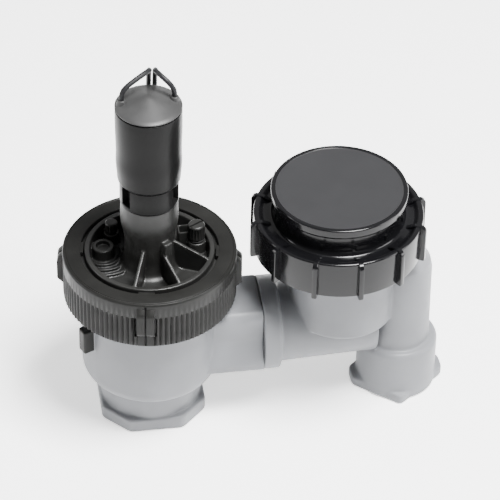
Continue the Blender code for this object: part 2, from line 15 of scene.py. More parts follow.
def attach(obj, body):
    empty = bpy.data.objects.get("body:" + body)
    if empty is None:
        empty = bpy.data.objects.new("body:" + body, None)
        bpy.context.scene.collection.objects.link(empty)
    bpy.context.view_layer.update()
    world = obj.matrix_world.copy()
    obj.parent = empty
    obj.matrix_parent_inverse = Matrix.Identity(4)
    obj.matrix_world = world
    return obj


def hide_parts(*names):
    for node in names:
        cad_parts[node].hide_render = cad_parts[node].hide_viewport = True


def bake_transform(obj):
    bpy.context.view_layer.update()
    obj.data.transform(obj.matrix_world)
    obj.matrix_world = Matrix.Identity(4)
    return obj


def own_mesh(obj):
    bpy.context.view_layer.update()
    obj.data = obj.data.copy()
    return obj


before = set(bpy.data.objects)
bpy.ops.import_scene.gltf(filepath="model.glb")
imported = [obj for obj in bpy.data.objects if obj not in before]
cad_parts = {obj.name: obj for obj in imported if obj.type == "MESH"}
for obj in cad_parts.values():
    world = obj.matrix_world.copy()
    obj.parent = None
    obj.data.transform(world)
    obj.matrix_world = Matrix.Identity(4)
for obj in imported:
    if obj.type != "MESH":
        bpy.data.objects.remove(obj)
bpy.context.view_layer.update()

MM = 0.001

# ---------------------------------------------------------------- places and sizes shared with the CAD

VALVE = -47.6                  # X of each upright axis
BREAKER = VALVE + 85.9
CHAMBER = BREAKER + 3.0
OUTLET = VALVE + 116.2
VALVE_AT = (VALVE, 0)
BREAKER_AT = (BREAKER, 0)
CHAMBER_AT = (CHAMBER, 0)
OUTLET_AT = (OUTLET, 0)
BLEED_AT = (VALVE + 22.1, 6.0)
PLUG_AT = (VALVE - 15.5, 16.5)
SIDE_BOSS_AT = (VALVE - 20.3, 7.2)
CROSS_Z = 40.0                 # height of the crossover's axis
CLOCK = radians(-9.6)          # how far the lock ring and the cap are turned

SOCKET_R = 13.0
BOWL_R = 31.5
VALVE_NECK_R = 34.7            # the threaded neck inside the lock ring
BREAKER_NECK_R = 34.2          # the threaded neck inside the cap
RING_R = 39.4
LUG_R = 41.8
SOLENOID_R = 14.8
CAP_R = 38.5
CAP_LUG_R = 40.9
DISC_R = 30.9
DISC_TOP = 116.2
DISC_BOTTOM = 111.2

PIPE_PITCH = 1.81
RING_PITCH = 4.5
CAP_PITCH = 4.0
BLEED_PITCH = 1.25

LEAD_R = 1.15
LEAD_LENGTH = 457.0
EXIT = (11.6, 1.2, 174.2)      # from the valve's axis, mirrored in X for the other lead
COIL_AT = (VALVE - 15.0, 76.0)
COIL_OUT_R = 16.35             # middle of the outermost turn
COIL_PITCH = 2.35
COIL_STEP = tau / 18

# ---------------------------------------------------------------- sizes of the looks only

LATHE_SIDES = 96
BODY_SIDES = 128               # round the two grey bodies and the cover
CAP_SIDES = 144
KNURLS = 100                   # round the lock ring
KNURL_DEPTH = 0.85
KNURL_TOP = 82.6               # a smooth band runs above the lock ring's knurl
SIDE_LUG_ANGLE = radians(205)  # the lug on the bowl's side, painted black as painted shade
SIDE_LUG_Z = 51.5
TIE_GAP = 0.05                 # how far the lead tie stays above the floor

# ---------------------------------------------------------------- outlines and profiles


def around(angle, radius, centre=(0.0, 0.0)):
    """A point at an angle in radians and a radius."""
    return centre[0] + radius * cos(angle), centre[1] + radius * sin(angle)


def arc(centre, radius, start, end, steps):
    """Points along an arc, both ends included, angles in degrees."""
    return [around(radians(start + (end - start) * i / steps), radius, centre) for i in range(steps + 1)]


def soften(points, radius=0.6, steps=4, closed=False):
    """Round a 2D line's corners. A point may carry its own radius as a third number."""
    made = []
    count = len(points)
    for i, point in enumerate(points):
        here = Vector(point[:2])
        size = point[2] if len(point) > 2 else radius
        if size <= 0 or (not closed and i in (0, count - 1)):
            made.append(tuple(here))
            continue
        before = Vector(points[i - 1][:2]) - here
        after = Vector(points[(i + 1) % count][:2]) - here
        reach = min(size, before.length * 0.45, after.length * 0.45)
        a = here + before.normalized() * reach
        b = here + after.normalized() * reach
        for k in range(steps + 1):
            t = k / steps
            made.append(tuple(a * (1 - t) ** 2 + here * 2 * t * (1 - t) + b * t * t))
    return made


# ---------------------------------------------------------------- solids added to a bmesh


def join_rings(shape, rings, closed_across=False):
    """Skin a list of vertex rings, each closed on itself; closed_across joins the last to the first."""
    pairs = list(zip(rings, rings[1:]))
    if closed_across:
        pairs.append((rings[-1], rings[0]))
    for low, high in pairs:
        if len(low) == 1 and len(high) == 1:
            continue
        count = max(len(low), len(high))
        for i in range(count):
            j = (i + 1) % count
            corners = [low[i % len(low)], low[j % len(low)], high[j % len(high)], high[i % len(high)]]
            unique = list(dict.fromkeys(corners))
            if len(unique) >= 3:
                shape.faces.new(unique)


def join_and_cap(shape, rings):
    """Skin a list of vertex rings and close both ends."""
    join_rings(shape, rings)
    shape.faces.new(rings[0])
    shape.faces.new(rings[-1])


def add_lathe(shape, profile, at=(0.0, 0.0), sides=LATHE_SIDES, closed=False, wave=None):
    """Turn a profile of (radius, z). wave(angle, radius, z) may return another radius."""
    rings = []
    for radius, z in profile:
        if radius < 1e-6:
            rings.append([shape.verts.new((at[0], at[1], z))])
            continue
        ring = []
        for i in range(sides):
            angle = tau * i / sides
            r = wave(angle, radius, z) if wave else radius
            ring.append(shape.verts.new((*around(angle, r, at), z)))
        rings.append(ring)
    join_rings(shape, rings, closed)


def add_lathe_along_x(shape, profile):
    """Turn a profile of (radius, x from the valve's axis) about the crossover's axis."""
    mark = len(shape.verts)
    add_lathe(shape, profile)
    shape.verts.ensure_lookup_table()
    turn = Matrix.Translation((VALVE, 0, CROSS_Z)) @ Matrix.Rotation(pi / 2, 4, "Y")
    bmesh.ops.transform(shape, matrix=turn, verts=shape.verts[mark:])


def add_sector(shape, section, first, last, at, steps=24):
    """Sweep a closed (radius, z) section about an upright axis between two angles in degrees."""
    rings = []
    for i in range(steps + 1):
        angle = radians(first + (last - first) * i / steps)
        rings.append([shape.verts.new((*around(angle, radius, at), z)) for radius, z in section])
    join_and_cap(shape, rings)


def add_prism(shape, outline, levels, place):
    """Stack an outline at (height, inset) levels and close both ends."""
    count = len(outline)
    centre = Vector((sum(p[0] for p in outline) / count, sum(p[1] for p in outline) / count))
    rings = []
    for height, inset in levels:
        ring = []
        for point in outline:
            spoke = Vector(point[:2]) - centre
            spoke *= max(0.0, 1 - inset / max(spoke.length, 1e-6))
            ring.append(shape.verts.new(place @ Vector((centre.x + spoke.x, centre.y + spoke.y, height))))
        rings.append(ring)
    join_and_cap(shape, rings)


def on_edge(at, angle):
    """A place that stands an outline on edge, its first number running out along a spoke at an angle."""
    return Matrix.Translation(at) @ Matrix.Rotation(angle, 4, "Z") @ Matrix.Rotation(pi / 2, 4, "X")


def add_fin(shape, side_view, low, high, angle, edge=0.25):
    """A fin on a spoke of the valve: its (radius, z) side view, from low to high across the spoke."""
    levels = [(low, edge), (low + edge, 0.0), (high - edge, 0.0), (high, edge)]
    add_prism(shape, side_view, levels, on_edge((VALVE, 0, 0), angle))


def add_block(shape, size, centre, turn=0.0, edge=0.35):
    """A block with rounded edges, turned about the upright axis."""
    made = bmesh.ops.create_cube(shape, size=1.0)["verts"]
    bmesh.ops.scale(shape, vec=size, verts=made)
    edges = dict.fromkeys(e for v in made for e in v.link_edges)
    bevel = bmesh.ops.bevel(shape, geom=list(edges), offset=edge, segments=3, profile=0.5, affect="EDGES")
    verts = dict.fromkeys([v for f in bevel["faces"] for v in f.verts] + [v for v in made if v.is_valid])
    place = Matrix.Translation(centre) @ Matrix.Rotation(turn, 4, "Z")
    bmesh.ops.transform(shape, matrix=place, verts=list(verts))


def add_torus(shape, ring_radius, wire_radius, at, z, section=14):
    """A ring of round section lying flat."""
    profile = []
    for i in range(section):
        angle = tau * i / section
        profile.append((ring_radius + wire_radius * cos(angle), z - wire_radius * sin(angle)))
    add_lathe(shape, profile, at, closed=True)


def add_tube(shape, points, radius, section=12):
    """A round tube along points, closed at both ends."""
    line = [Vector(p) for p in points]
    normal = None
    rings = []
    for i, here in enumerate(line):
        ahead = (line[min(i + 1, len(line) - 1)] - line[max(i - 1, 0)]).normalized()
        if normal is None:
            normal = ahead.orthogonal().normalized()
        normal = (normal - ahead * normal.dot(ahead)).normalized()
        side = ahead.cross(normal)
        ring = []
        for k in range(section):
            angle = tau * k / section
            ring.append(shape.verts.new(here + normal * radius * cos(angle) + side * radius * sin(angle)))
        rings.append(ring)
    join_and_cap(shape, rings)


def helix(at, radius, low, high, turns, per_turn=24):
    """Points on a helix that climbs from low to high."""
    count = ceil(turns * per_turn)
    points = []
    for i in range(count + 1):
        t = i / count
        points.append((*around(tau * turns * t, radius, at), low + (high - low) * t))
    return points


def add_thread(shape, at, radius, depth, low, high, pitch, inward=False, per_turn=48):
    """A ridge of triangular section wound on a cylinder wall, fading in and out at its ends."""
    turns = (high - low) / pitch
    count = ceil(turns * per_turn)
    half_width = pitch * 0.42
    sunk = -0.15               # the ridge's feet lie this deep in the wall
    sign = -1 if inward else 1
    rings = []
    for i in range(count + 1):
        t = i / count
        angle = tau * turns * t
        z = low + (high - low) * t
        fade = min(1.0, t * turns * 4, (1 - t) * turns * 4)
        ring = []
        for dz, dr in ((-half_width, sunk), (0.0, depth * fade), (half_width, sunk)):
            ring.append(shape.verts.new((*around(angle, radius + sign * dr, at), z + dz)))
        rings.append(ring)
    join_rings(shape, rings)


def shape_of(add, *values, **options):
    """A new shape that holds what one function adds."""
    shape = bmesh.new()
    add(shape, *values, **options)
    return shape


def smooth_route(points, spacing):
    """Evenly spaced points on a smooth curve through the given ones."""
    knots = [Vector(p) for p in points]
    points_per_span = 25
    fine = []
    for i in range(len(knots) - 1):
        before = knots[max(i - 1, 0)]
        after = knots[min(i + 2, len(knots) - 1)]
        a, b = knots[i], knots[i + 1]
        piece = interpolate_bezier(a, a + (b - before) / 6, b - (after - a) / 6, b, points_per_span)
        fine.extend(piece if i == 0 else piece[1:])
    length = sum((q - p).length for p, q in zip(fine, fine[1:]))
    count = max(2, round(length / spacing))
    step = length / count
    route = [fine[0]]
    walked = 0.0
    for p, q in zip(fine, fine[1:]):
        span = (q - p).length
        while len(route) < count and walked + span >= step * len(route):
            route.append(p.lerp(q, (step * len(route) - walked) / span))
        walked += span
    route.append(fine[-1])
    return route


# ---------------------------------------------------------------- pieces


def mesh_from(shape, name):
    """Finish a bmesh in millimetres as a mesh in metres with its faces pointing out."""
    bmesh.ops.recalc_face_normals(shape, faces=shape.faces)
    bmesh.ops.scale(shape, vec=(MM, MM, MM), verts=shape.verts)
    mesh = bpy.data.meshes.new(name)
    shape.to_mesh(mesh)
    shape.free()
    return mesh


def make_object(name, shape):
    """Link a finished shape into the scene."""
    obj = bpy.data.objects.new(name, mesh_from(shape, name))
    bpy.context.scene.collection.objects.link(obj)
    return obj


def settle(obj):
    """Apply an object's modifiers."""
    bpy.context.view_layer.update()
    evaluated = obj.evaluated_get(bpy.context.evaluated_depsgraph_get())
    mesh = bpy.data.meshes.new_from_object(evaluated)
    obj.modifiers.clear()
    obj.data = mesh


def combine(obj, solids=(), hollows=()):
    """Fuse solids into an object, then cut hollows out of it."""
    tools = []
    for operation, shapes in (("UNION", solids), ("DIFFERENCE", hollows)):
        for shape in shapes:
            tool = make_object(obj.name + "_tool", shape)
            tools.append(tool)
            modifier = obj.modifiers.new("combine", "BOOLEAN")
            modifier.operation = operation
            modifier.solver = "MANIFOLD"
            modifier.object = tool
    settle(obj)
    for tool in tools:
        bpy.data.objects.remove(tool, do_unlink=True)


def mould(name, solids, hollows, voxel=0.5, passes=3):
    """Fuse solids, cut hollows, and round every edge a little, as one moulding."""
    body = make_object(name, solids[0])
    combine(body, solids[1:], hollows)
    coarser = 1.0
    remesh = body.modifiers.new("remesh", "REMESH")
    remesh.mode = "VOXEL"
    remesh.voxel_size = voxel * MM * coarser
    smooth = body.modifiers.new("smooth", "SMOOTH")
    smooth.factor = 0.5
    smooth.iterations = passes
    settle(body)
    return body


def shade(obj, sharp_angle):
    """Smooth shading, with edges sharper than an angle in degrees kept sharp."""
    obj.data.shade_smooth()
    obj.data.set_sharp_from_angle(angle=radians(sharp_angle))


def dress(obj, material, body, nodes=()):
    """Give a piece its material, shading and body, and hide the CAD nodes it stands for."""
    obj.data.materials.clear()
    obj.data.materials.append(material)
    shade(obj, 40)
    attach(obj, body)
    if nodes:
        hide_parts(*nodes)
    return obj


def make_piece(name, shape, material, body, nodes=()):
    """Make an object of a shape and dress it."""
    return dress(make_object(name, shape), material, body, nodes)


def merge(obj, shape):
    """Add more millimetre geometry to a finished piece."""
    extra = mesh_from(shape, "extra")
    whole = bmesh.new()
    whole.from_mesh(obj.data)
    whole.from_mesh(extra)
    whole.to_mesh(obj.data)
    whole.free()


# ---------------------------------------------------------------- materials


def new_material(name, colour, roughness, metallic=0.0):
    """A plain material and its shader node."""
    material = bpy.data.materials.new(name)
    material.use_nodes = True
    shader = material.node_tree.nodes["Principled BSDF"]
    shader.inputs["Base Color"].default_value = (*colour, 1.0)
    shader.inputs["Roughness"].default_value = roughness
    shader.inputs["Metallic"].default_value = metallic
    return material, shader


def noise_node(tree, scale, detail=4.0, stretch=None):
    """Noise on the object's own coordinates, in metres, stretched by a vector if one is given."""
    nodes, links = tree.nodes, tree.links
    place = nodes.new("ShaderNodeTexCoord")
    source = place.outputs["Object"]
    if stretch:
        mapping = nodes.new("ShaderNodeMapping")
        mapping.inputs["Scale"].default_value = stretch
        links.new(source, mapping.inputs["Vector"])
        source = mapping.outputs["Vector"]
    noise = nodes.new("ShaderNodeTexNoise")
    noise.inputs["Scale"].default_value = scale
    noise.inputs["Detail"].default_value = detail
    links.new(source, noise.inputs["Vector"])
    return noise


def ramp_between(tree, source, low, high, first=0.35, last=0.65):
    """A colour that runs from low to high as source goes from first to last."""
    ramp = tree.nodes.new("ShaderNodeValToRGB")
    ramp.color_ramp.elements[0].position = first
    ramp.color_ramp.elements[1].position = last
    ramp.color_ramp.elements[0].color = (*low, 1)
    ramp.color_ramp.elements[1].color = (*high, 1)
    tree.links.new(source, ramp.inputs["Fac"])
    return ramp


def map_between(tree, source, low, high):
    """A value that runs from low to high across the middle of a noise's range."""
    mapped = tree.nodes.new("ShaderNodeMapRange")
    mapped.inputs["From Min"].default_value = 0.3
    mapped.inputs["From Max"].default_value = 0.7
    mapped.inputs["To Min"].default_value = low
    mapped.inputs["To Max"].default_value = high
    tree.links.new(source, mapped.inputs["Value"])
    return mapped.outputs["Result"]


def textured(name, colour, roughness, metallic=0.0, mottle=0.12, mottle_scale=60, rough_swing=0.08,
             grain_scale=1800, grain_height=0.02, stretch=None, coat=0.0, coat_roughness=0.1, specular=0.5):
    """A moulded or machined surface: mottled colour, uneven gloss and a fine grain."""
    material, shader = new_material(name, colour, roughness, metallic)
    tree = material.node_tree
    cloud = noise_node(tree, mottle_scale, 5.0, stretch)
    dark = tuple(c * (1 - mottle) for c in colour)
    light = tuple(min(1.0, c * (1 + mottle)) for c in colour)
    ramp = ramp_between(tree, cloud.outputs["Fac"], dark, light)
    tree.links.new(ramp.outputs["Color"], shader.inputs["Base Color"])
    gloss_scale = mottle_scale * 2.3
    patch = noise_node(tree, gloss_scale, 3.0, stretch)
    gloss = map_between(tree, patch.outputs["Fac"], roughness - rough_swing, roughness + rough_swing)
    tree.links.new(gloss, shader.inputs["Roughness"])
    grain = noise_node(tree, grain_scale, 3.0, stretch)
    bump = tree.nodes.new("ShaderNodeBump")
    bump.inputs["Strength"].default_value = 0.5
    bump.inputs["Distance"].default_value = grain_height * MM
    tree.links.new(grain.outputs["Fac"], bump.inputs["Height"])
    tree.links.new(bump.outputs["Normal"], shader.inputs["Normal"])
    shader.inputs["Coat Weight"].default_value = coat
    shader.inputs["Coat Roughness"].default_value = coat_roughness
    shader.inputs["Specular IOR Level"].default_value = specular
    return material


def banded(name, colour, dark, roughness, metallic, bands_per_mm):
    """Closely wound wire: fine bands along Z. The texture repeats every pi / (10 * its scale) metres."""
    material, shader = new_material(name, colour, roughness, metallic)
    tree = material.node_tree
    place = tree.nodes.new("ShaderNodeTexCoord")
    wave = tree.nodes.new("ShaderNodeTexWave")
    wave.bands_direction = "Z"
    wave.inputs["Scale"].default_value = bands_per_mm * 1000 * pi / 10
    wave.inputs["Distortion"].default_value = 0.3
    tree.links.new(place.outputs["Object"], wave.inputs["Vector"])
    ramp = ramp_between(tree, wave.outputs["Fac"], dark, colour, 0.15, 0.7)
    tree.links.new(ramp.outputs["Color"], shader.inputs["Base Color"])
    bump = tree.nodes.new("ShaderNodeBump")
    bump.inputs["Strength"].default_value = 0.6
    bump.inputs["Distance"].default_value = 0.1 * MM
    tree.links.new(wave.outputs["Fac"], bump.inputs["Height"])
    tree.links.new(bump.outputs["Normal"], shader.inputs["Normal"])
    return material


GREY = textured("grey_moulding", (0.148, 0.152, 0.160), 0.42, specular=0.20, mottle=0.07, mottle_scale=35,
                grain_scale=1500, grain_height=0.03)
BLACK = textured("black_moulding", (0.009, 0.009, 0.0085), 0.40, specular=0.28, mottle=0.25, mottle_scale=70,
                 grain_scale=1800, grain_height=0.03)
RING_BLACK = textured("ring_moulding", (0.007, 0.007, 0.0065), 0.44, specular=0.13, mottle=0.25,
                      mottle_scale=60, grain_scale=1500, grain_height=0.04)
GLOSS = textured("gloss_moulding", (0.003, 0.003, 0.0035), 0.19, specular=0.11, mottle=0.15, rough_swing=0.04,
                 grain_scale=900, grain_height=0.008, coat=0.25, coat_roughness=0.12)
DISC_BLACK = textured("disc_moulding", (0.017, 0.017, 0.018), 0.36, specular=0.20, rough_swing=0.02,
                      mottle=0.04, grain_scale=1200, grain_height=0.03)
CAST_BLACK = textured("solenoid_casting", (0.004, 0.004, 0.004), 0.30, specular=0.075, mottle=0.12,
                      rough_swing=0.02, mottle_scale=55, grain_scale=700, grain_height=0.03)
RUBBER = textured("rubber", (0.022, 0.022, 0.022), 0.72, specular=0.3, mottle=0.2, grain_scale=2500,
                  grain_height=0.03)
WHITE = textured("natural_moulding", (0.72, 0.71, 0.66), 0.40, mottle=0.04, grain_scale=1600)
STEEL = textured("turned_steel", (0.60, 0.60, 0.58), 0.28, 1.0, mottle=0.10, grain_scale=900,
                 stretch=(1, 1, 12))
BRASS = textured("drawn_brass", (0.70, 0.52, 0.24), 0.30, 1.0, grain_scale=900, stretch=(12, 12, 1))
WINDING = banded("copper_winding", (0.72, 0.34, 0.18), (0.25, 0.08, 0.03), 0.3, 1.0, bands_per_mm=3.0)
PVC = textured("lead_insulation", (0.010, 0.010, 0.011), 0.38, specular=0.14, mottle=0.2, grain_scale=1400,
               grain_height=0.01)
# The cone's black is several times lighter than the solenoid casting's black: a painted highlight for the
# light on the cone's top.
CONE_PAINTED_HIGHLIGHT_BLACK = textured("cone_casting_painted_highlight", (0.023, 0.023, 0.023), 0.46, specular=0.30, mottle=0.2,
                      grain_scale=1500, grain_height=0.015)
COPPER = textured("bare_copper", (0.80, 0.42, 0.25), 0.30, 1.0, grain_scale=3000)


# ---------------------------------------------------------------- grey bodies


def octagon(half, flat):
    """Corners of an octagon, from half its width and half the length of its four square sides."""
    return [(flat, -half), (half, -flat), (half, flat), (flat, half),
            (-flat, half), (-half, flat), (-half, -flat), (-flat, -half)]


def saddle_section():
    """The block round the crossover where it leaves the bowl, as (y, z) about the crossover's axis."""
    half = [(13.0, 18.0), (16.0, 15.0), (16.0, 2.8), (20.8, -7.7), (20.8, -11.0), (16.0, -15.0)]
    return half + [(-y, z) for y, z in reversed(half)]


def paint_side_lug_shade(body):
    """Paint the lug on the bowl's side in the lock ring's black: painted shade on a lug of the grey body."""
    body.data.materials.append(RING_BLACK)
    centre = Vector((*around(SIDE_LUG_ANGLE, 35.6, VALVE_AT), SIDE_LUG_Z)) * MM
    axis = Vector((VALVE * MM, 0))
    reach = 7.6 * MM
    past_wall = (BOWL_R + 0.4) * MM
    for face in body.data.polygons:
        if (face.center - centre).length < reach and (face.center.xy - axis).length > past_wall:
            face.material_index = 1


def make_valve_body():
    """Inlet boss, bowl with its seat, crossover socket and the lug on the bowl's side."""
    outside = [(VALVE_NECK_R, 76.0), (VALVE_NECK_R, 66.8), (BOWL_R, 64.8, 1.5), (BOWL_R, 28.0, 0)]
    outside += arc((24.5, 28.0), 7.0, -10, -80, 8) + [(24.4, 19.4, 1.5), (23.2, 6.9), (23.2, 0.6)]
    inside = [(SOCKET_R, 0.6), (12.6, 16.0), (10.0, 18.0), (10.0, 66.5), (12.0, 66.5), (13.0, 24.0, 1.5),
              (22.5, 24.0, 3.0), (28.5, 30.0, 3.0), (28.5, 71.0), (31.6, 76.0)]
    wall = soften(outside + inside, 0.5, 3, closed=True)
    bowl = shape_of(add_lathe, wall, VALVE_AT, BODY_SIDES, closed=True)
    boss = shape_of(add_prism, soften([(x, y, 2.0) for x, y in octagon(24.2, 12.3)], closed=True),
                    [(0.0, 0.5), (0.4, 0.0), (6.3, 0.0), (6.9, 0.6)], Matrix.Translation((VALVE, 0, 0)))
    saddle = shape_of(add_prism, soften([(y, z, 1.6) for y, z in saddle_section()], closed=True),
                      [(15.0, 0.0), (50.15, 0.0), (50.3, 0.15)], on_edge((VALVE, 0, CROSS_Z), pi / 2))
    lug_centre = (*around(SIDE_LUG_ANGLE, 33.2, VALVE_AT), SIDE_LUG_Z)
    lug = shape_of(add_block, (7.0, 5.5, 13.0), lug_centre, SIDE_LUG_ANGLE, 0.8)

    socket = shape_of(add_lathe_along_x, [(0.0, 51.0), (SOCKET_R, 51.0), (SOCKET_R, 38.5), (11.2, 38.5),
                                          (11.2, 24.0), (0.0, 24.0)])
    mouth = shape_of(add_lathe, [(0.0, 16.5), (12.7, 16.0), (SOCKET_R + 0.2, -1.0), (0.0, -1.0)], VALVE_AT)
    cavity = shape_of(add_lathe, [(13.2, 60.0), (28.4, 60.0), (28.4, 31.0), (22.5, 25.0), (13.2, 25.0)],
                      VALVE_AT, closed=True)
    body = mould("valve_body_moulding", [bowl, boss, saddle, lug], [socket, mouth, cavity])

    threads = bmesh.new()
    add_thread(threads, VALVE_AT, SOCKET_R - 0.1, 0.9, 1.4, 13.5, PIPE_PITCH, inward=True)
    add_thread(threads, VALVE_AT, VALVE_NECK_R, 0.45, 68.6, 75.0, RING_PITCH)
    merge(body, threads)
    dress(body, GREY, "valve", ["valve_body"])
    paint_side_lug_shade(body)


def make_breaker_body():
    """Crossover tube, chamber with its cap thread, riser and outlet boss, in one moulding."""
    neck = shape_of(add_lathe, soften([(0.0, 96.5), (BREAKER_NECK_R, 96.5), (BREAKER_NECK_R, 85.5),
                                       (30.0, 80.0, 1.5), (24.5, 76.0), (0.0, 75.0)]), BREAKER_AT, BODY_SIDES)
    chamber = shape_of(add_lathe, soften([(0.0, 79.0), (24.5, 79.0), (24.5, 46.0, 1.8), (0.0, 46.0)]),
                       CHAMBER_AT, BODY_SIDES)
    crossover = shape_of(add_lathe_along_x,
                         soften([(0.0, 104.0), (17.0, 104.0), (18.8, 58.8, 1.0), (21.8, 58.4, 1.0),
                                 (21.8, 50.4, 0.4), (12.7, 50.4), (12.7, 41.0), (0.0, 41.0)], 0.5))
    riser = shape_of(add_lathe,
                     soften([(0.0, 80.6), (5.5, 79.8), (10.4, 76.6), (13.4, 72.2), (14.3, 68.0),
                             (14.7, 27.2, 0.8), (17.0, 27.2, 0.8), (18.6, 25.4, 1.0), (18.6, 0.6),
                             (0.0, 0.6)], 0.5), OUTLET_AT)
    corners = [(*around(radians(angle), 22.2), 2.2) for angle in (-166, -93, -8, 14, 87, 172)]
    flange = shape_of(add_prism, soften(corners, closed=True),
                      [(0.0, 0.5), (0.4, 0.0), (4.4, 0.0), (4.9, 0.5)], Matrix.Translation((OUTLET, 0, 0)))

    cup = shape_of(add_lathe, [(0.0, 97.5), (31.0, 97.5), (31.0, 88.0), (22.2, 80.0), (9.8, 80.0),
                               (9.8, 37.5), (0.0, 37.5)], BREAKER_AT)
    annulus = shape_of(add_lathe, [(15.0, 81.2), (21.5, 81.2), (21.5, 64.0), (15.0, 64.0)], CHAMBER_AT,
                       closed=True)
    level_bore = shape_of(add_lathe_along_x, [(0.0, 94.9), (12.1, 94.9), (12.1, 58.0), (10.0, 57.0),
                                              (10.0, 40.0), (0.0, 40.0)])
    down_bore = shape_of(add_lathe, [(0.0, 76.0), (6.0, 74.0), (11.2, 68.0), (11.2, 18.0), (12.6, 16.0),
                                     (SOCKET_R + 0.2, -1.0), (0.0, -1.0)], OUTLET_AT)
    body = mould("vacuum_breaker_moulding", [neck, chamber, crossover, riser, flange],
                 [cup, annulus, level_bore, down_bore])

    threads = bmesh.new()
    add_thread(threads, OUTLET_AT, SOCKET_R - 0.1, 0.9, 1.4, 13.5, PIPE_PITCH, inward=True)
    add_thread(threads, BREAKER_AT, BREAKER_NECK_R, 0.4, 88.0, 95.2, CAP_PITCH)
    merge(body, threads)
    dress(body, GREY, "valve", ["vacuum_breaker_body"])


# ---------------------------------------------------------------- cover and lock ring


def make_cover():
    """Domed recess with its tower, ribs, bosses and the channels moulded on its floor."""
    profile = [(9.5, 119.3), (12.8, 119.3, 0.3), (13.1, 112.0, 3), (13.0, 108.0, 3), (12.0, 103.0, 3),
               (11.2, 98.0, 3), (11.5, 88.0, 3), (12.8, 84.0, 1.2), (15.0, 82.5, 1.2), (26.6, 82.5, 0.4),
               (27.0, 90.4), (29.4, 90.4), (29.4, 87.2, 0.3), (36.0, 87.2), (36.0, 78.8), (30.0, 78.8),
               (29.0, 80.0), (10.5, 80.0), (10.0, 83.0), (9.8, 94.0), (0.8, 94.0, 0.1), (0.8, 100.5, 0.1),
               (2.0, 100.5, 0.2), (2.6, 97.5, 0.3), (9.5, 97.5, 0.2)]
    solids = [shape_of(add_lathe, soften(profile, 0.5, 3, closed=True), VALVE_AT, BODY_SIDES, closed=True)]
    rib = soften([(10.4, 81.0, 0), (10.4, 97.6, 0), (12.0, 97.4), (27.6, 90.7), (27.6, 81.0, 0)], closed=True)
    for angle in (-111, -68, -24, 67, 113):
        solids.append(shape_of(add_fin, rib, -0.75, 0.75, radians(angle)))
    tab_angle = radians(-61)
    tab_centre = (*around(tab_angle, 13.0, VALVE_AT), 93.4)
    solids.append(shape_of(add_block, (3.6, 4.2, 18.0), tab_centre, tab_angle, 0.4))
    bracket = (VALVE + 16.8, 9.2)
    walls = (((0.9, 6.0, 10.0), -2.6, 0.0), ((6.0, 0.9, 10.0), 0.0, -2.6), ((6.0, 0.9, 10.0), 0.0, 2.6))
    for size, x, y in walls:
        solids.append(shape_of(add_block, size, (bracket[0] + x, bracket[1] + y, 87.2), 0.0, 0.25))
    for radius, first, last in ((8.4, -120, 20), (12.0, -105, -35), (15.6, -100, -60)):
        channel = [(x, y, 83.3) for x, y in arc(SIDE_BOSS_AT, radius, first, last, 14)]
        solids.append(shape_of(add_tube, channel, 0.7, 10))
    for place, radius in ((BLEED_AT, 4.2), (SIDE_BOSS_AT, 5.0), (PLUG_AT, 3.6)):
        boss = soften([(0.0, 88.0), (radius, 88.0), (radius + 0.3, 81.2), (0.0, 81.2)])
        solids.append(shape_of(add_lathe, boss, place, 40))
    hollows = []
    for place, radius, low in ((BLEED_AT, 2.4, 79.0), (PLUG_AT, 1.9, 83.5), (SIDE_BOSS_AT, 3.2, 86.0)):
        bore = [(0.0, 89.0), (radius, 89.0), (radius, low), (0.0, low)]
        hollows.append(shape_of(add_lathe, bore, place, 32))
    cover = mould("cover_moulding", solids, hollows, voxel=0.36, passes=2)
    dress(cover, BLACK, "cover", ["cover"])


def ring_wall(angle, radius, z):
    """The lock ring's outside: a notch between each lug's halves, pockets beside them, and the knurl."""
    if radius < 38.8 or z > 89.0:
        return radius
    from_lug = (angle - CLOCK + pi / 4) % (pi / 2) - pi / 4
    across = abs(radius * from_lug)
    if across < 0.4:
        return radius - 0.9
    if 3.7 < across < 4.9 and 71.6 < z < 82.2:
        return radius - 1.7
    if across < 3.8 or z > KNURL_TOP:
        return radius
    fade = min(1.0, (KNURL_TOP - z) / 0.8)
    return radius - KNURL_DEPTH * fade * (0.5 + 0.5 * cos(KNURLS * angle)) ** 1.5


def make_lock_ring():
    """Knurled screw ring with a smooth band, a flat lip and four split lugs."""
    lip = [(31.3, 90.0, 0.3), (37.6, 90.0, 0.2), (37.8, 89.8, 0.1), (38.2, 90.15, 0.3), (38.9, 90.1, 0.5),
           (RING_R, 89.2, 0.5), (RING_R, 88.6, 0)]
    wall = [(RING_R, z, 0) for z in (82.7, 82.3, 82.1, 81.8, 80.0, 76.0, 72.0, 71.7, 71.5, 68.0)]
    inside = [(39.2, 65.7), (35.4, 65.7), (35.4, 75.2), (36.9, 76.5), (36.9, 87.5), (31.3, 87.5, 0.3)]
    profile = soften(lip + wall + inside, 0.5, 3, closed=True)
    ring = shape_of(add_lathe, profile, VALVE_AT, KNURLS * 8, closed=True, wave=ring_wall)
    lug = soften([(38.3, 71.0, 0), (LUG_R, 74.4), (LUG_R, 85.4, 1.5), (38.3, 88.8, 0)], closed=True)
    for i in range(4):
        turn = CLOCK + i * pi / 2
        for low, high in ((-3.95, -0.35), (0.35, 3.95)):
            add_fin(ring, lug, low, high, turn)
        add_block(ring, (3.6, 7.3, 2.2), (*around(turn, 31.6, VALVE_AT), 88.75), turn, 0.25)
    make_piece("lock_ring_knurled", ring, RING_BLACK, "lock_ring", ["lock_ring"])


# ---------------------------------------------------------------- solenoid


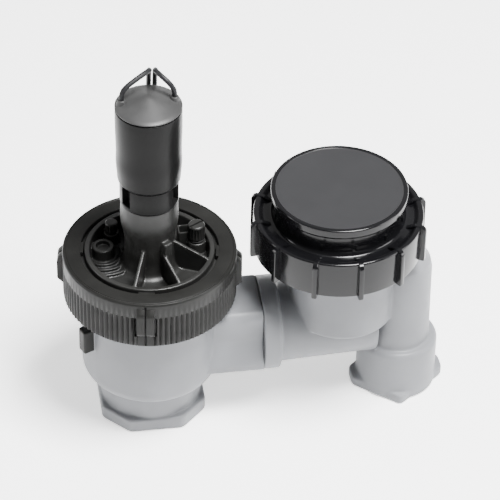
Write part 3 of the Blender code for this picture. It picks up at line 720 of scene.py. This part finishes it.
def make_solenoid():
    """Slotted base, the shell round the coil, and the cone with its two lead exits."""
    hub = [(5.2, 131.2), (10.4, 131.2), (10.4, 121.5, 0.8), (13.2, 121.2), (13.2, 119.7), (9.2, 119.7),
           (9.2, 101.5), (5.2, 101.5)]
    base = shape_of(add_lathe, soften(hub, 0.4, 3, closed=True), VALVE_AT, 64, closed=True)
    post = soften([(9.8, 120.4), (13.2, 120.4), (13.2, 131.1), (9.8, 131.1)], 0.4, 3, closed=True)
    for middle, half in ((0, 19), (90, 47), (180, 19), (270, 47)):
        add_sector(base, post, middle - half, middle + half, VALVE_AT)
    make_piece("solenoid_base_slotted", base, CAST_BLACK, "solenoid", ["solenoid_base"])

    wall = [(13.2, 170.1), (SOLENOID_R, 170.1, 0.3), (14.85, 160.0, 5), (14.5, 148.0, 5), (14.75, 141.0, 3),
            (14.2, 134.0, 1.5), (14.1, 132.2, 0.4), (13.6, 131.5, 0.3), (5.4, 131.5), (5.4, 136.6),
            (13.2, 136.6)]
    shell = shape_of(add_lathe, soften(wall, 0.4, closed=True), VALVE_AT, closed=True)
    make_piece("solenoid_shell", shell, CAST_BLACK, "solenoid", ["solenoid_housing"])

    cone = [(0.0, 176.2), (1.6, 176.0, 1.0), (7.0, 174.2, 3), (13.6, 171.9, 1.0), (14.85, 171.2, 0.4),
            (SOLENOID_R, 170.7, 0.2), (12.9, 170.7), (12.9, 168.2), (0.0, 168.2)]
    top = shape_of(add_lathe, soften(cone, 0.4), VALVE_AT)
    exit_boss = soften([(0.0, 174.2), (1.6, 174.2), (2.0, 173.2, 0.6), (2.8, 171.0), (0.0, 171.0)], 0.3)
    for side in (-1, 1):
        add_lathe(top, exit_boss, (VALVE + side * EXIT[0], EXIT[1]), 32)
    make_piece("solenoid_cone", top, CONE_PAINTED_HIGHLIGHT_BLACK, "solenoid", ["solenoid_top"])


# ---------------------------------------------------------------- screws in the cover


def knurled(count, depth, low, high):
    """A wave for add_lathe that knurls a screw's head between two heights."""
    shank_r = 2.6

    def wave(angle, radius, z):
        if not low < z < high or radius < shank_r:
            return radius
        return radius - depth * (0.5 + 0.5 * cos(count * angle))
    return wave


def make_bleed_screw():
    """Knurled screw with a driver slot and a short thread."""
    profile = soften([(0.0, 97.2), (3.2, 97.2, 0.3), (3.8, 96.6, 0.3), (3.8, 95.6, 0), (3.8, 93.5, 0),
                      (3.8, 91.0, 0), (3.8, 89.8), (2.1, 89.8), (2.1, 83.0, 0.5), (0.9, 80.8),
                      (0.0, 80.8)], 0.3)
    head = shape_of(add_lathe, profile, BLEED_AT, wave=knurled(16, 0.5, 90.2, 96.2))
    screw = make_object("bleed_screw_knurled", head)
    slot = shape_of(add_block, (9.0, 0.9, 1.6), (*BLEED_AT, 97.0), radians(30), 0.1)
    combine(screw, hollows=[slot])
    merge(screw, shape_of(add_thread, BLEED_AT, 2.05, 0.2, 83.6, 88.6, BLEED_PITCH, per_turn=24))
    dress(screw, BLACK, "bleed_screw", ["bleed_screw"])


def make_port_plug():
    """Small knurled plug pressed into the cover."""
    profile = soften([(0.0, 93.8), (2.3, 93.8, 0.3), (2.9, 93.2, 0.3), (2.9, 92.4, 0), (2.9, 90.0, 0),
                      (2.9, 88.3), (1.6, 88.3), (1.6, 84.0), (0.0, 84.0)], 0.3)
    plug = shape_of(add_lathe, profile, PLUG_AT, wave=knurled(12, 0.4, 88.8, 93.0))
    make_piece("port_plug_knurled", plug, BLACK, "cover", ["port_plug"])


# ---------------------------------------------------------------- vacuum breaker pieces


def make_cap():
    """Gloss screw cap: rolled rim, skirt with lugs, air seat and the posts under the disc."""
    profile = [(26.5, 110.9), (29.3, 110.9, 0.3), (29.3, 103.6, 1.2), (30.4, 101.2, 1.0), (34.4, 100.9, 1.0),
               (36.0, 103.1, 0.9), (CAP_R, 103.1, 2.0), (CAP_R, 84.5, 0.6), (35.8, 84.5), (35.8, 96.2),
               (34.8, 99.5), (12.5, 99.5), (12.5, 93.0), (10.0, 93.0), (10.0, 102.5), (26.5, 102.5)]
    cap = shape_of(add_lathe, soften(profile, 0.4, 5, closed=True), BREAKER_AT, CAP_SIDES, closed=True)
    lug = soften([(CAP_LUG_R, 83.9, 0.6), (CAP_LUG_R, 101.6, 1.4), (39.2, 103.4, 1.2), (35.4, 103.5, 0.8),
                  (31.4, 101.3, 0.6), (31.4, 100.4, 0), (37.0, 100.0, 0), (37.6, 83.9, 0.2)], closed=True)
    lug_levels = [(1.1, 0.3), (0.8, 0.0), (-0.8, 0.0), (-1.1, 0.3)]
    for i in range(12):
        turn = radians(15 + 30 * i) + CLOCK
        add_prism(cap, lug, lug_levels, on_edge((BREAKER, 0, 0), turn))
        add_block(cap, (1.6, 0.9, 3.4), (*around(turn, 29.0, BREAKER_AT), 105.4), turn, 0.2)
    make_piece("vacuum_breaker_cap_gloss", cap, GLOSS, "breaker_cap", ["vacuum_breaker_cap"])


def make_disc():
    """Canopy disc with a rolled gloss edge and a plain face."""
    profile = [(0.0, 115.9), (28.7, 115.9, 0.2), (28.9, DISC_TOP, 0.2), (DISC_R, DISC_TOP, 2.0),
               (DISC_R, 112.2, 0.8), (30.2, DISC_BOTTOM, 0.5), (0.0, DISC_BOTTOM)]
    shape = shape_of(add_lathe, soften(profile, 0.4, 5), BREAKER_AT, CAP_SIDES)
    disc = make_piece("canopy_disc_plain", shape, DISC_BLACK, "breaker_cap", ["canopy_disc"])
    disc.data.materials.append(GLOSS)
    axis = Vector((BREAKER * MM, 0))
    edge = 28.8 * MM
    for face in disc.data.polygons:
        if (face.center.xy - axis).length > edge:
            face.material_index = 1


# ---------------------------------------------------------------- inner pieces


def flatten(piece):
    """Give a piece its own copy of its mesh."""
    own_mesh(piece)


def make_o_rings():
    """The three O-rings that move with a piece."""
    rings = (("solenoid_o_ring_round", 7.4, 1.1, VALVE_AT, 98.9, "solenoid_seal", "solenoid_o_ring"),
             ("bleed_o_ring_round", 3.1, 0.6, BLEED_AT, 88.9, "bleed_seal", "bleed_o_ring"),
             ("cap_o_ring_round", 32.8, 1.2, BREAKER_AT, 98.0, "cap_seal", "cap_o_ring"))
    for name, ring_radius, wire_radius, at, z, body, node in rings:
        make_piece(name, shape_of(add_torus, ring_radius, wire_radius, at, z), RUBBER, body, [node])


def make_spring(name, node, body, radius, wire_radius, low, high, turns):
    """A coil spring on the valve's axis, on a given body."""
    wire = shape_of(add_tube, helix(VALVE_AT, radius, low, high, turns), wire_radius, 10)
    spring = make_piece(name, wire, STEEL, body, [node])
    flatten(spring)


def make_diaphragm():
    """Rubber sheet, clamped at its rim, on the stem's body."""
    low = 69.7
    high = 78.5
    profile = [(3.3, 71.9), (15.5, 71.9, 1.5), (20.0, 72.6, 2.0), (27.0, 76.6, 2.0), (30.0, 78.0, 1.0),
               (31.5, high), (34.6, high), (34.6, 76.3), (31.2, 76.3), (28.0, 74.4, 2.0), (21.0, 70.4, 2.0),
               (16.5, low, 1.5), (3.3, low)]
    shape = shape_of(add_lathe, soften(profile, 0.3, closed=True), VALVE_AT, closed=True)
    sheet = make_piece("diaphragm_sheet", shape, RUBBER, "stem", ["diaphragm"])
    flatten(sheet)


def paint_plain_nodes():
    """Give the CAD pieces that are shown as they are their materials."""
    nodes = {RUBBER: ("spigot_o_ring", "seat_washer", "plunger_seal", "float_seal"),
             WHITE: ("diaphragm_retainer", "seat_clamp", "coil_bobbin", "float"),
             STEEL: ("stem", "stem_nut", "pole_piece", "plunger"),
             BRASS: ("core_tube",),
             WINDING: ("coil_winding",)}
    for material, names in nodes.items():
        for name in names:
            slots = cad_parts[name].data.materials
            slots.clear()
            slots.append(material)


# ---------------------------------------------------------------- leads


def lead_line(side):
    """One lead from its exit over the solenoid, down behind the valve and round its coil."""
    beside = side * (LEAD_R + 0.2)
    exit_x, exit_y, exit_z = EXIT
    over = [(side * exit_x, exit_y, exit_z + 0.5), (side * (exit_x - 0.1), exit_y, 176.8)]
    if side > 0:
        over += [(10.6, 1.8, 178.9), (8.8, 3.1, 180.8), (6.8, 4.8, 182.2), (5.2, 7.0, 182.8),
                 (4.5, 9.6, 182.2)]
    else:
        over += [(-10.8, 1.6, 178.6), (-9.1, 2.5, 180.1), (-6.0, 4.1, 181.5), (-2.7, 5.9, 182.6),
                 (0.0, 7.9, 183.0), (1.6, 10.2, 182.3)]
    behind_solenoid = [(beside + shift, y, z) for shift, y, z in (
        (3.2, 12.4, 180.7), (3.3, 14.6, 177.2), (3.4, 16.6, 170.6), (3.2, 17.6, 154.0), (2.4, 17.8, 136.0),
        (1.0, 18.6, 118.0))]
    behind_valve = [(beside, y, z) for y, z in (
        (22.5, 104.8), (29.5, 97.2), (36.0, 93.8), (40.2, 92.2), (43.2, 89.0), (44.8, 84.4), (45.4, 78.0),
        (46.0, 56.0), (46.6, 34.0), (47.6, 17.0), (50.6, 6.6))]
    if side > 0:
        floor = [(beside, 56.8, 2.0), (beside, 64.0, 1.2), (beside, 70.0, 1.2)]
        layer = 1.2
    else:
        floor = [(beside, 56.4, 2.4), (beside + 0.3, 61.4, 2.5), (beside + 1.2, 66.0, 3.3),
                 (beside + 2.2, 71.0, 3.6)]
        layer = 3.6
    route = [(VALVE + x, y, z) for x, y, z in over + behind_solenoid + behind_valve + floor]
    so_far = sum((Vector(b) - Vector(a)).length for a, b in zip(route, route[1:]))
    left = LEAD_LENGTH - so_far
    angle = 0.0
    radius = COIL_OUT_R
    while left > 0:
        route.append((*around(angle, radius, COIL_AT), layer))
        angle += COIL_STEP
        radius = COIL_OUT_R - COIL_PITCH * angle / tau
        left -= radius * COIL_STEP
    return smooth_route(route, 1.5)


def make_lead(side, name, node):
    """A limp lead with a bare end."""
    line = lead_line(side)
    lead = make_object(name, shape_of(add_tube, line, LEAD_R))
    lead.data.materials.append(PVC)
    shade(lead, 50)
    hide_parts(node)
    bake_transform(lead)
    ahead = (line[-1] - line[-2]).normalized()
    tip = shape_of(add_tube, [line[-1] + ahead * t for t in (-0.5, 3.0, 7.0)], 0.45, 10)
    bare = make_piece(f"{name}_bare_end", tip, COPPER, "solenoid_seal")


def make_lead_tie():
    """A flat strap round both leads where they are coiled."""
    angle = radians(150)
    x, y = around(angle, 12.8, COIL_AT)
    half_width, half_height, middle = 6.3, 3.0, 2.6
    count = 28
    squareness = -0.4          # turns the oval into a rounded oblong
    loop = []
    for i in range(count):
        a = tau * (i + 0.5) / count
        loop.append((half_width * cos(a) * abs(cos(a)) ** squareness,
                     half_height * sin(a) * abs(sin(a)) ** squareness + middle))
    turn = on_edge((x, y, 0), angle)
    tie = bmesh.new()
    rings = []
    for depth, grow in ((-1.4, 0.0), (-1.2, 0.3), (1.2, 0.3), (1.4, 0.0)):
        ring = []
        for across, height in loop:
            wide = across * (1 + grow / 6)
            high = max(TIE_GAP, middle + (height - middle) * (1 + grow / 3))
            ring.append(tie.verts.new(turn @ Vector((wide, high, depth))))
        rings.append(ring)
    join_rings(tie, rings)
    make_piece("lead_tie", tie, BLACK, "solenoid_seal", ["lead_coil"])


# ---------------------------------------------------------------- stage


def make_floor():
    """A wide sheet of bright white paper."""
    ground = make_object("floor", shape_of(bmesh.ops.create_grid, x_segments=1, y_segments=1, size=3000))
    material, shader = new_material("floor_paper", (0.93, 0.93, 0.93), 0.9)
    shader.inputs["Specular IOR Level"].default_value = 0.1
    shader.inputs["Emission Color"].default_value = (1.0, 1.0, 1.0, 1.0)
    shader.inputs["Emission Strength"].default_value = 1.0
    ground.data.materials.append(material)


def make_world():
    """White surroundings, dimmer in front of the valve than behind it."""
    world = bpy.data.worlds.new("studio")
    world.use_nodes = True
    background = world.node_tree.nodes["Background"]
    background.inputs["Color"].default_value = (1.0, 1.0, 1.0, 1)
    nodes, links = world.node_tree.nodes, world.node_tree.links
    place = nodes.new("ShaderNodeTexCoord")
    split = nodes.new("ShaderNodeSeparateXYZ")
    strength = nodes.new("ShaderNodeMapRange")
    for name, value in (("From Min", -0.9), ("From Max", 0.3), ("To Min", 0.15), ("To Max", 0.80)):
        strength.inputs[name].default_value = value
    links.new(place.outputs["Generated"], split.inputs["Vector"])
    links.new(split.outputs["Y"], strength.inputs["Value"])
    links.new(strength.outputs["Result"], background.inputs["Strength"])
    bpy.context.scene.world = world


def make_lamps():
    """Three square lamps aimed at the valve's middle; places and sizes in metres."""
    target = Vector((0, 0, 0.06))
    lamps = (("key", (0.26, -0.28, 1.22), 0.46, 70.0), ("right", (1.20, -0.45, 0.45), 0.6, 15.0),
             ("left", (-1.30, 0.10, 0.40), 0.5, 9.0))
    for name, place, size, power in lamps:
        lamp = bpy.data.lights.new(name, "AREA")
        lamp.size = size
        lamp.energy = power
        light = bpy.data.objects.new(name, lamp)
        light.location = place
        light.rotation_euler = (target - Vector(place)).to_track_quat("-Z", "Y").to_euler()
        bpy.context.scene.collection.objects.link(light)


def make_camera():
    """A long lens looking down at the valve from the front, in metres."""
    azimuth, elevation, roll = radians(-9.15), radians(40.2), radians(1.12)
    distance = 1.408
    shift_right = 0.00625
    shift_up = 0.00756
    middle = Vector((VALVE * MM + 0.0396, 0, 0.0748))
    back = Vector((sin(azimuth) * cos(elevation), -cos(azimuth) * cos(elevation), sin(elevation)))
    right = Vector((cos(azimuth), sin(azimuth), 0))
    up = back.cross(right)
    right, up = right * cos(roll) + up * sin(roll), up * cos(roll) - right * sin(roll)
    aim = middle + right * shift_right + up * shift_up
    data = bpy.data.cameras.new("camera")
    data.lens = 222.9
    data.sensor_width = 36
    data.clip_end = 20
    camera = bpy.data.objects.new("camera", data)
    turn = Matrix((right, up, back)).transposed().to_4x4()
    camera.matrix_world = Matrix.Translation(aim + back * distance) @ turn
    bpy.context.scene.collection.objects.link(camera)
    bpy.context.scene.camera = camera


make_valve_body()
make_breaker_body()
make_cover()
make_lock_ring()
make_solenoid()
make_bleed_screw()
make_port_plug()
make_cap()
make_disc()
make_o_rings()
make_spring("main_spring_wire", "main_spring", "stem", 8.8, 0.6, 75.4, 93.1, 5.5)
make_spring("plunger_spring_wire", "plunger_spring", "plunger", 3.1, 0.3, 142.6, 149.3, 5.0)
make_diaphragm()
paint_plain_nodes()
make_lead(-1, "lead_a", "lead_wire_a")
make_lead(1, "lead_b", "lead_wire_b")
make_lead_tie()
make_floor()
make_world()
make_lamps()
make_camera()
